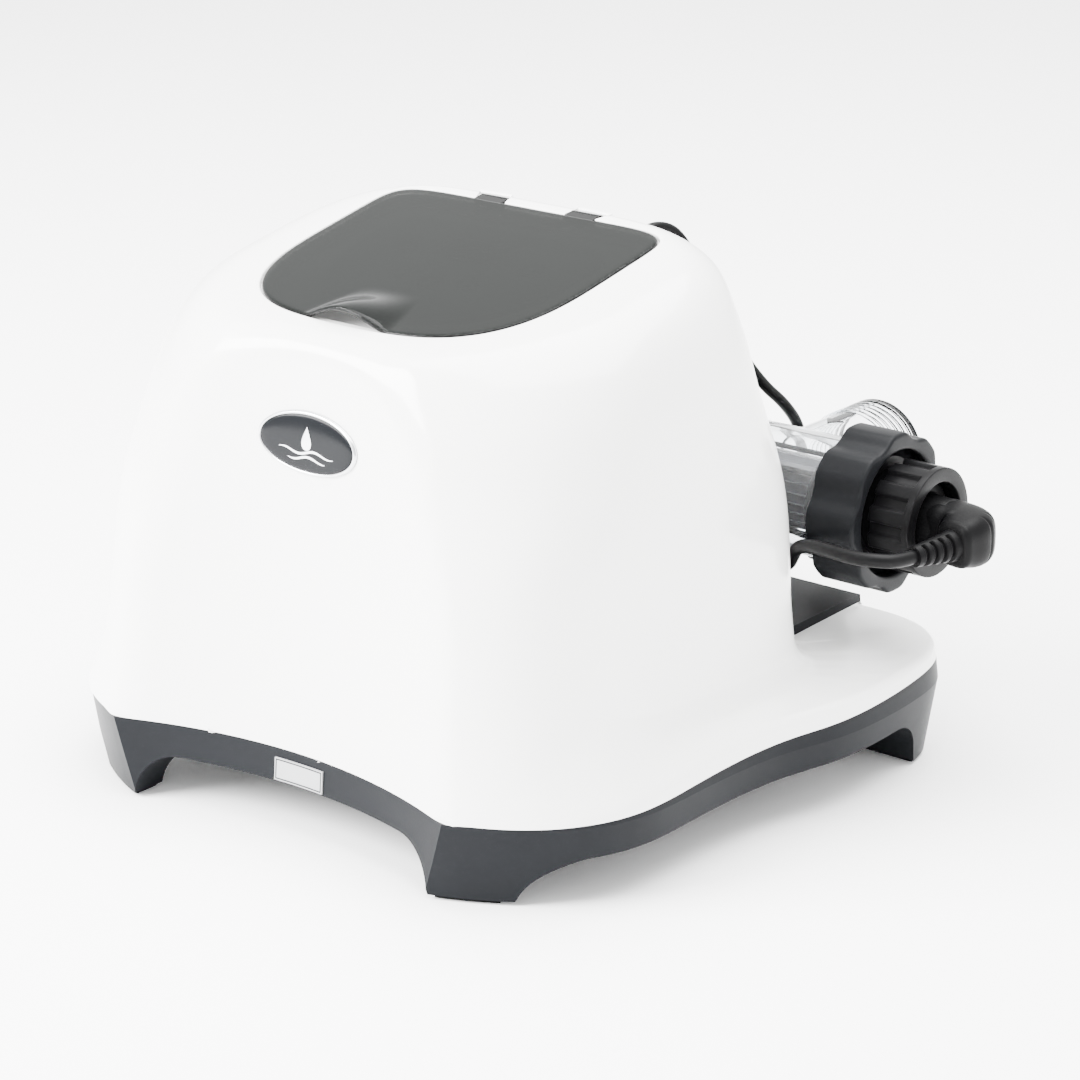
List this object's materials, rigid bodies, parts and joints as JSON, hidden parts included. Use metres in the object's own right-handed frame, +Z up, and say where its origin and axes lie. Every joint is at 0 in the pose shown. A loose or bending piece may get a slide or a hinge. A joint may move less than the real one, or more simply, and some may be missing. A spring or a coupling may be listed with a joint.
{
  "type": "salt chlorine generator",
  "caption": "Salt chlorine generator: domed housing on a footed tray, hinged smoked lid over a keypad, clear electrolytic cell vessel with threaded hose ports at the back.",
  "frame": {"origin": "on the ground under the middle of the object's box, leads and plug left out", "axes": "+Z up, +Y towards the hose ports at the back, +X to the cell's plug"},
  "size_m": [0.458, 0.4112, 0.3074],
  "materials": {
    "white_plastic": "gloss",
    "slate_plastic": "satin",
    "black_rubber": "matte",
    "steel": "satin",
    "badge_enamel": "gloss",
    "silver_trim": "polished",
    "label_foil": "satin",
    "smoked_lid": "gloss",
    "fascia_plastic": "satin",
    "display_block": "matte",
    "display_glass": "gloss",
    "indicator_lens": "gloss",
    "circuit_board": "satin",
    "black_plastic": "satin",
    "zinc_plate": "satin",
    "laminated_steel": "satin",
    "copper_winding": "satin",
    "capacitor_sleeve": "satin",
    "aluminium_fin": "satin",
    "clear_plastic": "gloss",
    "charcoal_plastic": "satin",
    "cell_plastic": "satin",
    "titanium_plate": "matte",
    "copper_bar": "satin",
    "key_cap": "satin",
    "plug_rubber": "satin",
    "cable_jacket": "satin"
  },
  "bodies": {
    "housing": {"housing_shell": "white_plastic", "base_tray": "slate_plastic", "foot_pads": "black_rubber", "base_screws": "steel", "rear_deck": "slate_plastic", "badge": "badge_enamel", "badge_ring": "silver_trim", "rating_label": "label_foil", "hinge_pins": "steel", "control_fascia": "fascia_plastic", "display_module": "display_block", "display_window": "display_glass", "status_lights": "indicator_lens", "control_board": "circuit_board", "key_switches": "black_plastic", "board_screws": "steel", "floor_plate": "zinc_plate", "transformer_core": "laminated_steel", "transformer_coil": "copper_winding", "power_board": "circuit_board", "board_spacers": "black_plastic", "capacitors": "capacitor_sleeve", "heat_sink": "aluminium_fin", "vessel_body": "clear_plastic", "port_rims": "charcoal_plastic", "cell_cap": "black_plastic", "electrode_cap": "black_plastic", "cell_block": "cell_plastic", "electrode_plates": "titanium_plate", "second_electrode": "copper_bar", "tube_seals": "black_rubber", "saddle_right": "slate_plastic", "saddle_left": "slate_plastic", "straps": "charcoal_plastic", "saddle_screws": "steel", "sensor_body": "black_plastic", "paddle_pin": "steel", "sensor_nut": "black_plastic", "cell_plug": "plug_rubber", "strain_relief": "plug_rubber", "cell_gland": "black_plastic", "mains_gland": "black_plastic", "sensor_gland": "black_plastic", "cell_lead": "cable_jacket", "sensor_lead": "cable_jacket"},
    "lid": {"lid": "smoked_lid"},
    "collar_right": {"collar_right": "charcoal_plastic"},
    "collar_left": {"collar_left": "charcoal_plastic"},
    "ring_nut": {"ring_nut": "black_plastic"},
    "paddle": {"flow_paddle": "charcoal_plastic"},
    "key_power": {"button_power": "key_cap"},
    "key_boost": {"button_boost": "key_cap"},
    "key_timer": {"button_timer": "key_cap"},
    "key_clean": {"button_clean": "key_cap"},
    "key_lock": {"button_lock": "key_cap"}
  },
  "joints": [
    {"name": "lid_hinge", "type": "hinge", "parent": "housing", "child": "lid", "pos_m": [0, 0.02157, 0.30395], "axis": [-1, 0, 0], "range_deg": [0, 95]},
    {"name": "key_power_press", "type": "slide", "parent": "housing", "child": "key_power", "axis": [0, 0.1961, -0.9806], "range_m": [0, 0.0008], "stiffness_N_per_m": 400, "springref_m": -0.0006},
    {"name": "key_boost_press", "type": "slide", "parent": "housing", "child": "key_boost", "axis": [0, 0.1961, -0.9806], "range_m": [0, 0.0008], "stiffness_N_per_m": 400, "springref_m": -0.0006},
    {"name": "key_timer_press", "type": "slide", "parent": "housing", "child": "key_timer", "axis": [0, 0.1961, -0.9806], "range_m": [0, 0.0008], "stiffness_N_per_m": 400, "springref_m": -0.0006},
    {"name": "key_clean_press", "type": "slide", "parent": "housing", "child": "key_clean", "axis": [0, 0.1961, -0.9806], "range_m": [0, 0.0008], "stiffness_N_per_m": 400, "springref_m": -0.0006},
    {"name": "key_lock_press", "type": "slide", "parent": "housing", "child": "key_lock", "axis": [0, 0.1961, -0.9806], "range_m": [0, 0.0008], "stiffness_N_per_m": 400, "springref_m": -0.0006},
    {"name": "collar_right_turn", "type": "hinge", "parent": "housing", "child": "collar_right", "pos_m": [0.162, 0.112, 0.142], "axis": [1, 0, 0], "continuous": true},
    {"name": "collar_left_turn", "type": "hinge", "parent": "housing", "child": "collar_left", "pos_m": [-0.162, 0.112, 0.142], "axis": [-1, 0, 0], "continuous": true},
    {"name": "ring_nut_turn", "type": "hinge", "parent": "housing", "child": "ring_nut", "pos_m": [0.195, 0.112, 0.142], "axis": [1, 0, 0], "continuous": true},
    {"name": "paddle_swing", "type": "hinge", "parent": "housing", "child": "paddle", "pos_m": [0.107, 0.16, 0.129], "axis": [1, 0, 0], "range_deg": [0, 60], "stiffness_Nm_per_rad": 0.0006, "springref_deg": -22.92}
  ]
}
